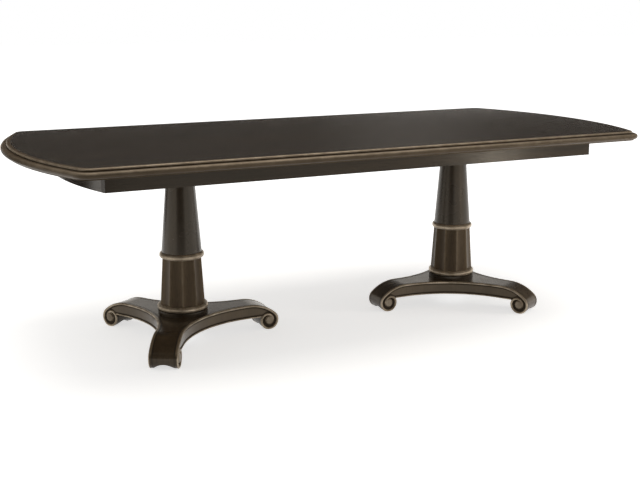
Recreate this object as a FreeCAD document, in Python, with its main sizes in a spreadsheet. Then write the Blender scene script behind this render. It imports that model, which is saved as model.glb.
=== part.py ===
import FreeCAD
import Part
import math
import os
import Sketcher

# Double pedestal dining table that pulls apart at the middle.
# Frame: +X along the table, +Y to the back, +Z up, origin on the floor under the table's middle.
# Each half is drawn as the left one, at -X. The right half is the same drawing after half a turn about Z.

Vector = FreeCAD.Vector
UP = Vector(0, 0, 1)
ALONG_Y = Vector(0, 1, 0)

# Driving dimensions in millimetres
SIZES = {
    # top
    "table_length": 2466.0,
    "table_width": 1132.0,
    "table_height": 762.0,
    "end_bow": 123.5,
    "corner_radius": 65.0,
    "panel_thickness": 24.0,
    "seam_gap": 0.1,
    # moulded edge, from its inner face out
    "edge_width": 36.0,
    "edge_thickness": 36.0,
    "upper_bead_inset": 27.0,
    "upper_bead_radius": 6.0,
    "upper_bead_height": 8.5,
    "quirk_depth": 3.0,
    "quirk_height": 2.0,
    "wide_bead_radius": 10.5,
    "under_step": 3.5,
    # apron
    "end_overhang": 176.0,
    "side_overhang": 166.0,
    "apron_bow": 60.0,
    "apron_height": 82.0,
    "apron_thickness": 22.0,
    "corner_block_leg": 70.0,
    "corner_block_drop": 12.0,
    # pieces under the top
    "batten_width": 70.0,
    "batten_length": 330.0,
    "batten_thickness": 22.0,
    "bearer_width": 220.0,
    "bearer_thickness": 22.0,
    "bearer_hole_radius": 30.0,
    # extension slides
    "slide_end_gap": 52.0,
    "slide_height": 40.0,
    "slide_centre_y": 230.0,
    "slide_middle_width": 34.0,
    "slide_side_width": 30.0,
    "slide_relief": 1.0,
    "slide_clearance": 0.4,
    "tongue_depth": 8.0,
    "tongue_root_height": 10.0,
    "tongue_tip_height": 16.0,
    "slide_screw_inset": 60.0,
    # dowels across the seam
    "dowel_radius": 5.0,
    "dowel_length": 60.0,
    "dowel_inner_y": 150.0,
    "dowel_outer_y": 420.0,
    "dowel_fixed_clearance": 0.05,
    "dowel_free_clearance": 0.3,
    "dowel_end_clearance": 1.0,
    # locks under the seam
    "lock_y": 120.0,
    "lock_lever_width": 22.0,
    "lock_lever_thickness": 4.0,
    "lock_lever_overhang": 14.0,
    "lock_pin_radius": 4.0,
    "lock_pin_head_radius": 7.0,
    "lock_pin_head_height": 4.0,
    "lock_slot_clearance": 1.5,
    "lock_pivot_clearance": 0.3,
    "lock_face_clearance": 0.4,
    # wood screws
    "screw_radius": 2.5,
    "screw_head_radius": 5.0,
    "screw_head_height": 3.0,
    "screw_bite": 14.0,
    "screw_clearance": 0.1,
    "bearer_screw_x": 80.0,
    "bearer_screw_inner_y": 170.0,
    "bearer_screw_outer_y": 360.0,
    "batten_screw_y": 150.0,
    # pedestal column
    "pedestal_spacing": 1216.0,
    "head_plate_width": 200.0,
    "head_plate_thickness": 22.0,
    "head_screw_spacing": 150.0,
    "column_top_radius": 47.6,
    "column_waist_radius": 75.5,
    "fluted_top_radius": 76.0,
    "fluted_foot_radius": 86.8,
    "flute_depth": 7.5,
    "mid_ring_radius": 84.4,
    "mid_ring_height": 24.0,
    "mid_ring_centre_z": 329.5,
    "low_ring_radius": 95.8,
    "low_ring_height": 23.0,
    "low_ring_centre_z": 131.0,
    "collar_radius": 94.0,
    # tie rod through the column
    "rod_radius": 6.0,
    "rod_clearance": 1.0,
    "rod_end": 5.0,
    "nut_width": 19.0,
    "nut_height": 10.0,
    "washer_radius": 15.0,
    "washer_thickness": 2.5,
    "nut_clearance": 0.1,
    # legs
    "leg_top_z": 105.0,
    "leg_under_z": 52.0,
    "leg_half_width": 48.5,
    "leg_hollow_radius": 116.0,
    "scroll_reach": 338.0,
    "scroll_radius": 37.0,
    "foot_flat": 0.4,
    "roll_start": 255.0,
    "foot_arch_width": 78.0,
    "foot_arch_height": 20.0,
    # gilded beads on the legs
    "edge_bead_radius": 4.5,
    "edge_bead_proud": 1.2,
    "lower_bead_radius": 2.6,
    "scroll_turn_radius": 24.0,
    "scroll_eye_radius": 18.0,
    "scroll_eye_height": 5.0,
    # plate under the legs
    "base_plate_radius": 78.0,
    "base_plate_thickness": 5.0,
    "base_screw_circle": 55.0,
    "base_screw_bite": 30.0,
    # how far a cut runs past what it cuts
    "overrun": 20.0,
}

FLUTES = 10
LEGS = 3
QUARTER_TURN = 90.0
HALF_TURN = 180.0
FULL_TURN = 360.0
MITRE = HALF_TURN / LEGS
MITRE_COS_SHARE = math.cos(math.radians(MITRE))
MITRE_SIN_SHARE = math.sin(math.radians(MITRE))
SLIDE_SCREW_SHARES = (0.0, 0.5, 1.0)

doc = FreeCAD.newDocument("table")
sheet = doc.addObject("Spreadsheet::Sheet", "Sizes")
for row, (alias, value) in enumerate(SIZES.items(), start=1):
    sheet.set(f"A{row}", alias)
    sheet.set(f"B{row}", str(value))
    sheet.setAlias(f"B{row}", alias)
doc.recompute()


class Size:
    """A length with the sheet's formula that gives it, so that a shape can be drawn and bound at once."""

    def __init__(self, value, formula):
        self.value = float(value)
        self.formula = formula

    def __float__(self):
        return self.value

    def __add__(self, other):
        other = size_of(other)
        return Size(self.value + other.value, f"({self.formula} + {other.formula})")

    def __sub__(self, other):
        other = size_of(other)
        return Size(self.value - other.value, f"({self.formula} - {other.formula})")

    def __mul__(self, other):
        other = size_of(other)
        return Size(self.value * other.value, f"({self.formula} * {other.formula})")

    def __truediv__(self, other):
        other = size_of(other)
        return Size(self.value / other.value, f"({self.formula} / {other.formula})")

    def __radd__(self, other):
        return size_of(other) + self

    def __rsub__(self, other):
        return size_of(other) - self

    def __rmul__(self, other):
        return size_of(other) * self

    def __neg__(self):
        return Size(-self.value, f"(0 - {self.formula})")


def size_of(number):
    return number if isinstance(number, Size) else Size(number, repr(float(number)))


def root(size):
    return Size(math.sqrt(size.value), f"sqrt({size.formula})")


def side_of(hypotenuse, other_side):
    """The third side of a right triangle."""
    return root(hypotenuse * hypotenuse - other_side * other_side)


def angle_of(opposite, adjacent):
    """An angle of a right triangle, in degrees, from the side across from it and the side next to it."""
    value = math.degrees(math.atan2(opposite.value, adjacent.value))
    return Size(value, f"atan2({opposite.formula}; {adjacent.formula})")


def bow_radius(half_chord, rise):
    """The radius of an arc from half of its chord and its rise."""
    return (half_chord * half_chord + rise * rise) / (2 * rise)


class Named:
    """The sheet's cells by their names."""

    def __getattr__(self, alias):
        return Size(sheet.get(alias), f"Sizes.{alias}")


size = Named()
nodes = []


def bind(obj, prop, value):
    obj.setExpression(prop, size_of(value).formula)


def place(obj, label, turn):
    """Names a finished sub-part and turns it about the table's middle."""
    obj.Label = label
    obj.Placement = FreeCAD.Placement(Vector(), FreeCAD.Rotation(UP, turn))
    nodes.append(obj)
    return obj


def new_body(name):
    return doc.addObject("PartDesign::Body", name)


def new_sketch(body, name, plane, height=0, shift=0):
    """A sketch on one of the body's own planes, moved by height along its normal and shift along its x."""
    sketch = body.newObject("Sketcher::SketchObject", name)
    support = [f for f in body.Origin.OriginFeatures if f.Role == plane][0]
    sketch.AttachmentSupport = [(support, "")]
    sketch.MapMode = "FlatFace"
    bind(sketch, "AttachmentOffset.Base.x", shift)
    bind(sketch, "AttachmentOffset.Base.z", height)
    return sketch


def fix_coordinate(sketch, kind, edge, end, value):
    index = sketch.addConstraint(Sketcher.Constraint(kind, edge, end, float(value)))
    bind(sketch, f"Constraints[{index}]", value)


def arc_between(start, end, radius):
    """The shorter arc from start to end, anticlockwise for a positive radius, else clockwise."""
    chord = end - start
    reach = math.sqrt(radius * radius - chord.Length ** 2 / 4)
    across = Vector(-chord.y, chord.x, 0).normalize()
    centre = (start + end) / 2 + across * math.copysign(reach, radius)
    first, last = (start, end) if radius > 0 else (end, start)
    angles = [math.atan2(p.y - centre.y, p.x - centre.x) for p in (first, last)]
    return Part.ArcOfCircle(Part.Circle(centre, UP, abs(radius)), *angles)


def draw(sketch, corners, closed=True):
    """Draws and fixes an outline. A corner (x, y, radius) starts an arc and a corner (x, y) a line."""
    base = sketch.GeometryCount
    points = [Vector(float(c[0]), float(c[1]), 0) for c in corners]
    count = len(corners) if closed else len(corners) - 1
    ends = []
    for i in range(count):
        start, end = points[i], points[(i + 1) % len(points)]
        if len(corners[i]) == 2:
            sketch.addGeometry(Part.LineSegment(start, end))
            ends.append((1, 2))
            continue
        radius = corners[i][2]
        sketch.addGeometry(arc_between(start, end, float(radius)))
        ends.append((1, 2) if float(radius) > 0 else (2, 1))
    for i in range(count):
        following = (i + 1) % count
        if closed or following:
            pair = (base + i, ends[i][1], base + following, ends[following][0])
            sketch.addConstraint(Sketcher.Constraint("Coincident", *pair))
        fix_coordinate(sketch, "DistanceX", base + i, ends[i][0], corners[i][0])
        fix_coordinate(sketch, "DistanceY", base + i, ends[i][0], corners[i][1])
        if len(corners[i]) == 3:
            radius = corners[i][2]
            index = sketch.addConstraint(Sketcher.Constraint("Radius", base + i, abs(float(radius))))
            bind(sketch, f"Constraints[{index}]", radius if float(radius) > 0 else -radius)
    if not closed:
        fix_coordinate(sketch, "DistanceX", base + count - 1, ends[-1][1], corners[-1][0])
        fix_coordinate(sketch, "DistanceY", base + count - 1, ends[-1][1], corners[-1][1])


def draw_circles(sketch, centres, radius):
    for x, y in centres:
        centre = Vector(float(x), float(y), 0)
        edge = sketch.addGeometry(Part.Circle(centre, UP, float(radius)))
        fix_coordinate(sketch, "DistanceX", edge, 3, x)
        fix_coordinate(sketch, "DistanceY", edge, 3, y)
        index = sketch.addConstraint(Sketcher.Constraint("Radius", edge, float(radius)))
        bind(sketch, f"Constraints[{index}]", radius)


def pad(body, sketch, length, both_ways=False):
    feature = body.newObject("PartDesign::Pad", sketch.Name + "_pad")
    feature.Profile = (sketch, [""])
    feature.SideType = "Symmetric" if both_ways else "One side"
    bind(feature, "Length", length)
    return feature


def cut(body, sketch, depth=None, along_normal=False):
    """A pocket to a depth, or through everything both ways where no depth is given."""
    feature = body.newObject("PartDesign::Pocket", sketch.Name + "_cut")
    feature.Profile = (sketch, [""])
    if depth is None:
        feature.Type = "ThroughAll"
        feature.SideType = "Symmetric"
        return feature
    feature.Reversed = along_normal
    bind(feature, "Length", depth)
    return feature


def revolve(body, sketch, sweep):
    """Turns a section about its sketch's upright axis, by sweep degrees."""
    feature = body.newObject("PartDesign::Revolution", sketch.Name + "_turned")
    feature.Profile = (sketch, [""])
    feature.ReferenceAxis = (sketch, ["V_Axis"])
    bind(feature, "Angle", sweep)
    return feature


def turned(name, label, turn, x, profile):
    """A piece turned on a lathe about the upright axis at x, from its (radius, z) profile."""
    body = new_body(name)
    sketch = new_sketch(body, name + "_profile", "XZ_Plane")
    draw(sketch, profile)
    revolve(body, sketch, FULL_TURN)
    return place_at(body, label, turn, x)


def place_at(obj, label, turn, x, own_turn=0):
    """Places a piece drawn on its own axis: turned by own_turn, moved to x, then turned with its half."""
    place(obj, label, turn)
    half = FreeCAD.Rotation(UP, turn)
    spot = half.multVec(Vector(float(x), 0, 0))
    obj.Placement = FreeCAD.Placement(spot, FreeCAD.Rotation(UP, turn + own_turn))
    return obj


def outline_prism(name, label, turn, corners, low, height):
    """An upright prism on an outline in plan."""
    body = new_body(name)
    sketch = new_sketch(body, name + "_outline", "XY_Plane", low)
    draw(sketch, corners)
    pad(body, sketch, height)
    return place(body, label, turn)


def drill(body, name, centres, radius, start, depth):
    """Upright round holes from the height start up."""
    sketch = new_sketch(body, name, "XY_Plane", start)
    draw_circles(sketch, centres, radius)
    cut(body, sketch, depth, along_normal=True)


def screws(name, label, turn, centres, head_z, length, x=None):
    """A group of like screws, driven up from heads whose upper faces are at head_z."""
    body = new_body(name)
    shanks = new_sketch(body, name + "_shanks", "XY_Plane", head_z - size.screw_head_height)
    draw_circles(shanks, centres, size.screw_radius)
    pad(body, shanks, length + size.screw_head_height)
    heads = new_sketch(body, name + "_heads", "XY_Plane", head_z - size.screw_head_height)
    draw_circles(heads, centres, size.screw_head_radius)
    pad(body, heads, size.screw_head_height)
    return place(body, label, turn) if x is None else place_at(body, label, turn, x)


# Heights and places that several pieces share
top_z = size.table_height
panel_under_z = top_z - size.panel_thickness
bearer_under_z = panel_under_z - size.bearer_thickness
batten_under_z = panel_under_z - size.batten_thickness
head_under_z = bearer_under_z - size.head_plate_thickness
plate_under_z = size.leg_under_z - size.base_plate_thickness
mid_ring_low_z = size.mid_ring_centre_z - size.mid_ring_height / 2
mid_ring_high_z = size.mid_ring_centre_z + size.mid_ring_height / 2
low_ring_low_z = size.low_ring_centre_z - size.low_ring_height / 2
low_ring_high_z = size.low_ring_centre_z + size.low_ring_height / 2
pedestal_x = -size.pedestal_spacing / 2
seam_x = -size.seam_gap / 2
batten_x = seam_x - size.batten_width / 2
rod_hole_radius = size.rod_radius + size.rod_clearance
screw_hole_radius = size.screw_radius + size.screw_clearance
dowel_z = panel_under_z + size.panel_thickness / 2
slide_length = size.pedestal_spacing - size.bearer_width - 2 * size.slide_end_gap

# Plan of the top: straight sides, bowed ends and rounded corners
half_width = size.table_width / 2
end_radius = bow_radius(half_width, size.end_bow)
end_centre_x = end_radius - size.table_length / 2
corner_y = half_width - size.corner_radius
corner_x = end_centre_x - side_of(end_radius - size.corner_radius, corner_y)


def top_corners(inset):
    """The left half's outline, inset from the widest line: seam, side, corner, end, corner, side."""
    side_y = half_width - inset
    round_radius = size.corner_radius - inset
    bow = end_radius - inset
    reach = bow / (end_radius - size.corner_radius)
    meet_x = end_centre_x - (end_centre_x - corner_x) * reach
    meet_y = corner_y * reach
    return [
        (seam_x, -side_y),
        (corner_x, -side_y, -round_radius),
        (meet_x, -meet_y, -bow),
        (meet_x, meet_y, -round_radius),
        (corner_x, side_y),
        (seam_x, side_y),
    ]


def dowel_rows():
    return [-size.dowel_outer_y, -size.dowel_inner_y, size.dowel_inner_y, size.dowel_outer_y]


def bearer_screw_centres():
    xs = (pedestal_x - size.bearer_screw_x, pedestal_x + size.bearer_screw_x)
    ys = (size.bearer_screw_inner_y, size.bearer_screw_outer_y)
    return [(x, sign * y) for x in xs for y in ys for sign in (-1, 1)]


def batten_screw_centres():
    return [(batten_x, -size.batten_screw_y), (batten_x, size_of(0)), (batten_x, size.batten_screw_y)]


def slide_screw_xs():
    run = slide_length / 2 - 2 * size.slide_screw_inset
    return [-(size.slide_screw_inset + run * share) for share in SLIDE_SCREW_SHARES]


def slide_side_y(half):
    """Middle of a side member: the left half's lie outside the middle members, the right half's inside."""
    step = size.slide_middle_width / 2 + size.slide_clearance + size.slide_side_width / 2
    return size.slide_centre_y + step if half == "left" else size.slide_centre_y - step


def slide_screw_centres(half):
    y = slide_side_y(half)
    return [(x, sign * y) for x in slide_screw_xs() for sign in (-1, 1)]


def top_panel(half, turn):
    """The flat field of the top, with pilot holes from below and dowel holes in the seam's edge."""
    name = half + "_top_panel"
    body = new_body(name)
    sketch = new_sketch(body, name + "_outline", "XY_Plane", panel_under_z)
    draw(sketch, top_corners(size.edge_width))
    pad(body, sketch, size.panel_thickness)
    pilots = bearer_screw_centres() + batten_screw_centres() + slide_screw_centres(half)
    drill(body, name + "_pilots", pilots, screw_hole_radius, panel_under_z,
          size.screw_bite + size.screw_clearance)
    fit = size.dowel_fixed_clearance if half == "left" else size.dowel_free_clearance
    holes = new_sketch(body, name + "_dowel_holes", "YZ_Plane", seam_x)
    draw_circles(holes, [(y, dowel_z) for y in dowel_rows()], size.dowel_radius + fit)
    cut(body, holes, size.dowel_length / 2 + size.dowel_end_clearance)
    return place(body, name, turn)


def edge_profile():
    """The moulded edge's section as (inset from the widest line, z), from its inner face out."""
    nose = size.upper_bead_inset - size.upper_bead_radius
    quirk = nose + size.quirk_depth
    quirk_z = top_z - size.upper_bead_height
    bead_top_z = quirk_z - size.quirk_height
    bead_mid_z = bead_top_z - size.wide_bead_radius
    bead_low_z = bead_mid_z - size.wide_bead_radius
    under = size.wide_bead_radius + size.under_step
    low_z = top_z - size.edge_thickness
    return [
        (size.edge_width, top_z),
        (size.upper_bead_inset, top_z, size.upper_bead_radius),
        (nose, top_z - size.upper_bead_radius),
        (nose, quirk_z),
        (quirk, quirk_z),
        (quirk, bead_top_z),
        (size.wide_bead_radius, bead_top_z, size.wide_bead_radius),
        (size_of(0), bead_mid_z, size.wide_bead_radius),
        (size.wide_bead_radius, bead_low_z),
        (under, bead_low_z),
        (under, low_z),
        (size.edge_width, low_z),
    ]


def edge_section(reach, sign):
    """The moulded edge's section as (across, z), its widest line at reach on the side that sign gives."""
    section = []
    for inset, z, *radius in edge_profile():
        section.append((sign * (reach - inset), z, *[-sign * r for r in radius]))
    return section


def edge_strip(name, sign):
    """A straight strip of the moulded edge, from the seam to the corner."""
    body = new_body(name)
    sketch = new_sketch(body, name + "_section", "YZ_Plane", corner_x)
    draw(sketch, edge_section(half_width, sign))
    pad(body, sketch, seam_x - corner_x)
    return body


def edge_end(name):
    """The moulded edge's stretch round the bowed end and its two corners."""
    body = new_body(name)
    bow = new_sketch(body, name + "_bow", "XZ_Plane", 0, end_centre_x)
    draw(bow, edge_section(end_radius, -1))
    end_run = end_centre_x - corner_x
    revolve(body, bow, 2 * angle_of(corner_y, end_run)).Midplane = True
    for side, sign in (("front", -1), ("back", 1)):
        corner = new_sketch(body, f"{name}_{side}_corner", "YZ_Plane", corner_x, sign * corner_y)
        draw(corner, edge_section(size.corner_radius, sign))
        revolve(body, corner, angle_of(end_run, corner_y)).Reversed = sign < 0
    return body


def edge_moulding(half, turn):
    """Three strips round a half's panel."""
    name = half + "_edge_moulding"
    strips = [edge_strip(name + "_front", -1), edge_strip(name + "_back", 1), edge_end(name + "_end")]
    group = doc.addObject("Part::Compound", name)
    group.Links = strips
    return place(group, name, turn)


# Plan of the apron: straight sides and bowed ends that meet at sharp corners
apron_end_x = size.end_overhang - size.table_length / 2
apron_y = half_width - size.side_overhang
apron_inner_y = apron_y - size.apron_thickness
apron_radius = bow_radius(apron_y, size.apron_bow)
apron_inner_radius = apron_radius - size.apron_thickness
apron_centre_x = apron_end_x + apron_radius
apron_corner_x = apron_end_x + size.apron_bow


def apron_x(radius, y):
    """Where an arc about the end rail's centre passes y."""
    return apron_centre_x - side_of(radius, y)


def apron_side(half, turn, side, sign):
    corners = [
        (seam_x, sign * apron_y),
        (apron_corner_x, sign * apron_y, sign * apron_radius),
        (apron_x(apron_radius, apron_inner_y), sign * apron_inner_y),
        (seam_x, sign * apron_inner_y),
    ]
    label = f"{half}_apron_{side}"
    return outline_prism(label, label, turn, corners, panel_under_z - size.apron_height, size.apron_height)


def apron_end(half, turn):
    outer_x = apron_x(apron_radius, apron_inner_y)
    inner_x = apron_x(apron_inner_radius, apron_inner_y)
    corners = [
        (outer_x, -apron_inner_y, -apron_radius),
        (outer_x, apron_inner_y),
        (inner_x, apron_inner_y, apron_inner_radius),
        (inner_x, -apron_inner_y),
    ]
    label = half + "_apron_end"
    return outline_prism(label, label, turn, corners, panel_under_z - size.apron_height, size.apron_height)


def corner_blocks(half, turn):
    """Glue blocks in the apron's two corners, one body with two solids."""
    label = half + "_corner_blocks"
    body = new_body(label)
    height = size.apron_height - size.corner_block_drop
    sketch = new_sketch(body, label + "_outline", "XY_Plane", panel_under_z - height)
    far_y = apron_inner_y - size.corner_block_leg
    near_x = apron_x(apron_inner_radius, apron_inner_y)
    far_x = apron_x(apron_inner_radius, far_y)
    for sign in (-1, 1):
        draw(sketch, [
            (near_x, sign * apron_inner_y),
            (near_x + size.corner_block_leg, sign * apron_inner_y),
            (far_x, sign * far_y, -sign * apron_inner_radius),
        ])
    pad(body, sketch, height)
    return place(body, label, turn)


def plank(x0, x1, y0, y1):
    return [(x0, y0), (x1, y0), (x1, y1), (x0, y1)]


def seam_batten(half, turn):
    """Stiffens the panel at the seam and holds the locks' pivots or pins."""
    label = half + "_seam_batten"
    half_length = size.batten_length / 2
    corners = plank(seam_x - size.batten_width, seam_x, -half_length, half_length)
    body = outline_prism(label, label, turn, corners, batten_under_z, size.batten_thickness)
    drill(body, label + "_holes", batten_screw_centres(), screw_hole_radius, batten_under_z,
          size.batten_thickness)
    pins = [(batten_x, -size.lock_y), (batten_x, size.lock_y)]
    pin_hole = size.lock_pin_radius + size.screw_clearance
    drill(body, label + "_pin_holes", pins, pin_hole, batten_under_z, size.batten_thickness)
    return body


def bearer(half, turn):
    """Cross beam between the apron's side rails that carries the top on the pedestal."""
    label = half + "_bearer"
    reach = size.bearer_width / 2
    corners = plank(pedestal_x - reach, pedestal_x + reach, -apron_inner_y, apron_inner_y)
    body = outline_prism(label, label, turn, corners, bearer_under_z, size.bearer_thickness)
    drill(body, label + "_rod_hole", [(pedestal_x, size_of(0))], size.bearer_hole_radius, bearer_under_z,
          size.bearer_thickness)
    drill(body, label + "_screw_holes", bearer_screw_centres(), screw_hole_radius, bearer_under_z,
          size.bearer_thickness)
    head_centres = [(pedestal_x + x, y) for x, y in head_screw_centres()]
    drill(body, label + "_head_holes", head_centres, screw_hole_radius, bearer_under_z,
          size.screw_bite + size.screw_clearance)
    return body


def tongue(side_y, sign, middle_z, fit):
    """Four corners of a dovetail tongue on a face at side_y, or of its groove where fit is a clearance."""
    root_half = size.tongue_root_height / 2 + fit
    tip_half = size.tongue_tip_height / 2 + fit
    tip_y = side_y + sign * (size.tongue_depth + fit)
    return [
        (side_y, middle_z - root_half),
        (tip_y, middle_z - tip_half),
        (tip_y, middle_z + tip_half),
        (side_y, middle_z + root_half),
    ]


slide_high_z = panel_under_z - size.slide_relief
slide_low_z = panel_under_z - size.slide_height
slide_middle_z = (slide_high_z + slide_low_z) / 2


def slide_side(half, turn, side, sign):
    """A half's own slide member: it meets its own half's panel and clears the other half's."""
    label = f"{half}_slide_{side}"
    body = new_body(label)
    towards = -1 if half == "left" else 1
    middle_y = slide_side_y(half)
    face_y = middle_y + towards * size.slide_side_width / 2
    back_y = middle_y - towards * size.slide_side_width / 2
    groove = tongue(face_y + towards * size.slide_clearance, -towards, slide_middle_z, size.slide_clearance)
    groove[0] = (face_y, groove[0][1])
    groove[3] = (face_y, groove[3][1])
    section = [
        (back_y, slide_low_z),
        (face_y, slide_low_z),
        *groove,
        (face_y, slide_high_z),
        (back_y, slide_high_z),
    ]
    sketch = new_sketch(body, label + "_section", "YZ_Plane", -slide_length / 2)
    draw(sketch, [(sign * y, z) for y, z in section])
    pad(body, sketch, slide_length)
    land = new_sketch(body, label + "_land", "XY_Plane", slide_high_z)
    draw(land, plank(-slide_length / 2, seam_x, sign * back_y, sign * face_y))
    pad(body, land, size.slide_relief)
    centres = [(x, sign * middle_y) for x in slide_screw_xs()]
    drill(body, label + "_screw_holes", centres, screw_hole_radius, slide_low_z, size.slide_height)
    return place(body, label, turn)


def slide_middle(side, sign):
    """The member between the two halves' members, with a tongue on each side."""
    label = "slide_middle_" + side
    body = new_body(label)
    near_y = size.slide_centre_y - size.slide_middle_width / 2
    far_y = size.slide_centre_y + size.slide_middle_width / 2
    near = tongue(near_y, -1, slide_middle_z, size_of(0))
    far = tongue(far_y, 1, slide_middle_z, size_of(0))
    section = [
        (near_y, slide_low_z),
        (far_y, slide_low_z),
        *far,
        (far_y, slide_high_z),
        (near_y, slide_high_z),
        *reversed(near),
    ]
    sketch = new_sketch(body, label + "_section", "YZ_Plane", -slide_length / 2)
    draw(sketch, [(sign * y, z) for y, z in section])
    pad(body, sketch, slide_length)
    return place(body, label, 0)


def alignment_dowels():
    """Round pegs fixed in the left panel's edge that enter the right panel's when the table is shut."""
    label = "alignment_dowels"
    body = new_body(label)
    sketch = new_sketch(body, label + "_ends", "YZ_Plane", -size.dowel_length / 2)
    draw_circles(sketch, [(y, dowel_z) for y in dowel_rows()], size.dowel_radius)
    pad(body, sketch, size.dowel_length)
    return place(body, label, 0)


lever_high_z = batten_under_z - size.lock_face_clearance
lever_low_z = lever_high_z - size.lock_lever_thickness
pin_head_z = lever_low_z - size.lock_face_clearance
lock_reach = -2 * batten_x


def lock_pins(label, turn):
    """Shouldered pins up into a batten: the levers' pivots on the left, the hooks' catches on the right."""
    body = new_body(label)
    centres = [(batten_x, -size.lock_y), (batten_x, size.lock_y)]
    shanks = new_sketch(body, label + "_shanks", "XY_Plane", pin_head_z - size.lock_pin_head_height)
    draw_circles(shanks, centres, size.lock_pin_radius)
    pad(body, shanks, panel_under_z - pin_head_z + size.lock_pin_head_height)
    heads = new_sketch(body, label + "_heads", "XY_Plane", pin_head_z - size.lock_pin_head_height)
    draw_circles(heads, centres, size.lock_pin_head_radius)
    pad(body, heads, size.lock_pin_head_height)
    return place(body, label, turn)


def lock_lever(side, sign):
    """A flat hook that swings about its pivot to catch the other half's pin, placed open, towards Y = 0."""
    label = side + "_lock_lever"
    body = new_body(label)
    half_lever = size.lock_lever_width / 2
    slot_half = size.lock_pin_radius + size.lock_slot_clearance
    far = lock_reach + size.lock_lever_overhang
    sketch = new_sketch(body, label + "_outline", "XY_Plane", lever_low_z)
    slot_end = -slot_half
    corners = [
        (-half_lever, -half_lever),
        (far, -half_lever),
        (far, half_lever),
        (lock_reach + slot_half, half_lever),
        (lock_reach + slot_half, slot_end),
        (lock_reach - slot_half, slot_end),
        (lock_reach - slot_half, half_lever),
        (-half_lever, half_lever),
    ]
    draw(sketch, [(x, sign * y) for x, y in corners])
    draw_circles(sketch, [(size_of(0), size_of(0))], size.lock_pin_radius + size.lock_pivot_clearance)
    pad(body, sketch, size.lock_lever_thickness)
    place(body, label, 0)
    pivot = Vector(float(batten_x), float(sign * size.lock_y), 0)
    body.Placement = FreeCAD.Placement(pivot, FreeCAD.Rotation(UP, -sign * QUARTER_TURN))
    return body


def head_screw_centres():
    reach = size.head_screw_spacing / 2
    return [(x * reach, y * reach) for x in (-1, 1) for y in (-1, 1)]


def head_plate(half, turn):
    """Square plate on the column's top, screwed up into the bearer."""
    label = half + "_head_plate"
    reach = size.head_plate_width / 2
    body = new_body(label)
    sketch = new_sketch(body, label + "_outline", "XY_Plane", head_under_z)
    draw(sketch, plank(-reach, reach, -reach, reach))
    pad(body, sketch, size.head_plate_thickness)
    drill(body, label + "_rod_hole", [(size_of(0), size_of(0))], rod_hole_radius, head_under_z,
          size.head_plate_thickness)
    drill(body, label + "_screw_holes", head_screw_centres(), screw_hole_radius, head_under_z,
          size.head_plate_thickness)
    return place_at(body, label, turn, pedestal_x)


def column_upper(half, turn):
    label = half + "_column_upper"
    profile = [
        (rod_hole_radius, mid_ring_high_z),
        (size.column_waist_radius, mid_ring_high_z),
        (size.column_top_radius, head_under_z),
        (rod_hole_radius, head_under_z),
    ]
    return turned(label, label, turn, pedestal_x, profile)


def ring(half, turn, name, radius, low_z, high_z):
    """A turned disc with a half-round edge."""
    label = f"{half}_{name}"
    edge = (high_z - low_z) / 2
    profile = [
        (rod_hole_radius, low_z),
        (radius - edge, low_z, edge),
        (radius, low_z + edge, edge),
        (radius - edge, high_z),
        (rod_hole_radius, high_z),
    ]
    return turned(label, label, turn, pedestal_x, profile)


def flute_corners(radius):
    """A ring of shallow hollows that meet in sharp edges on a circle."""
    step = FULL_TURN / FLUTES
    half_chord = radius * math.sin(math.radians(step / 2))
    sag = radius * (1 - math.cos(math.radians(step / 2)))
    hollow = bow_radius(half_chord, size.flute_depth - sag)
    angles = [math.radians(step * i) for i in range(FLUTES)]
    return [(radius * math.cos(angle), radius * math.sin(angle), -hollow) for angle in angles]


def column_lower(half, turn):
    """The fluted shaft between the two rings."""
    label = half + "_column_lower"
    body = new_body(label)
    foot = new_sketch(body, label + "_foot", "XY_Plane", low_ring_high_z)
    draw(foot, flute_corners(size.fluted_foot_radius))
    head = new_sketch(body, label + "_head", "XY_Plane", mid_ring_low_z)
    draw(head, flute_corners(size.fluted_top_radius))
    feature = body.newObject("PartDesign::AdditiveLoft", label + "_loft")
    feature.Profile = (foot, [""])
    feature.Sections = [(head, [""])]
    feature.Ruled = True
    drill(body, label + "_rod_hole", [(size_of(0), size_of(0))], rod_hole_radius, low_ring_high_z,
          mid_ring_low_z - low_ring_high_z)
    return place_at(body, label, turn, pedestal_x)


def collar(half, turn):
    label = half + "_collar"
    profile = [
        (rod_hole_radius, size.leg_top_z),
        (size.collar_radius, size.leg_top_z),
        (size.collar_radius, low_ring_low_z),
        (rod_hole_radius, low_ring_low_z),
    ]
    return turned(label, label, turn, pedestal_x, profile)


# Leg, drawn along +X from the pedestal's axis
hollow_arc_radius = (size.leg_hollow_radius * MITRE_SIN_SHARE - size.leg_half_width) / (1 - MITRE_SIN_SHARE)
hollow_centre = size.leg_hollow_radius + hollow_arc_radius
hollow_end_x = hollow_centre * MITRE_COS_SHARE
scroll_z = size.scroll_radius - size.foot_flat
roll_drop = size.leg_top_z - scroll_z
roll_run = size.scroll_reach - size.roll_start
roll_radius = ((roll_run * roll_run + roll_drop * roll_drop - size.scroll_radius * size.scroll_radius)
               / (2 * (roll_drop - size.scroll_radius)))
roll_centre_z = size.leg_top_z - roll_radius
roll_share = roll_radius / (roll_radius - size.scroll_radius)
roll_end_x = size.roll_start + roll_run * roll_share
roll_end_z = roll_centre_z + (scroll_z - roll_centre_z) * roll_share
scroll_tip_x = size.scroll_reach + size.scroll_radius
foot_half = side_of(size.scroll_radius, scroll_z)
throat_x = size.scroll_reach - side_of(size.scroll_radius, size.leg_under_z - scroll_z)
scroll_heel_x = size.scroll_reach - size.scroll_radius


def base_screw_centres():
    """The plate's screws in a leg, either side of the leg's middle."""
    angles = [math.radians(MITRE / 2 * sign) for sign in (-1, 1)]
    return [(size.base_screw_circle * math.cos(a), size.base_screw_circle * math.sin(a)) for a in angles]


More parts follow.
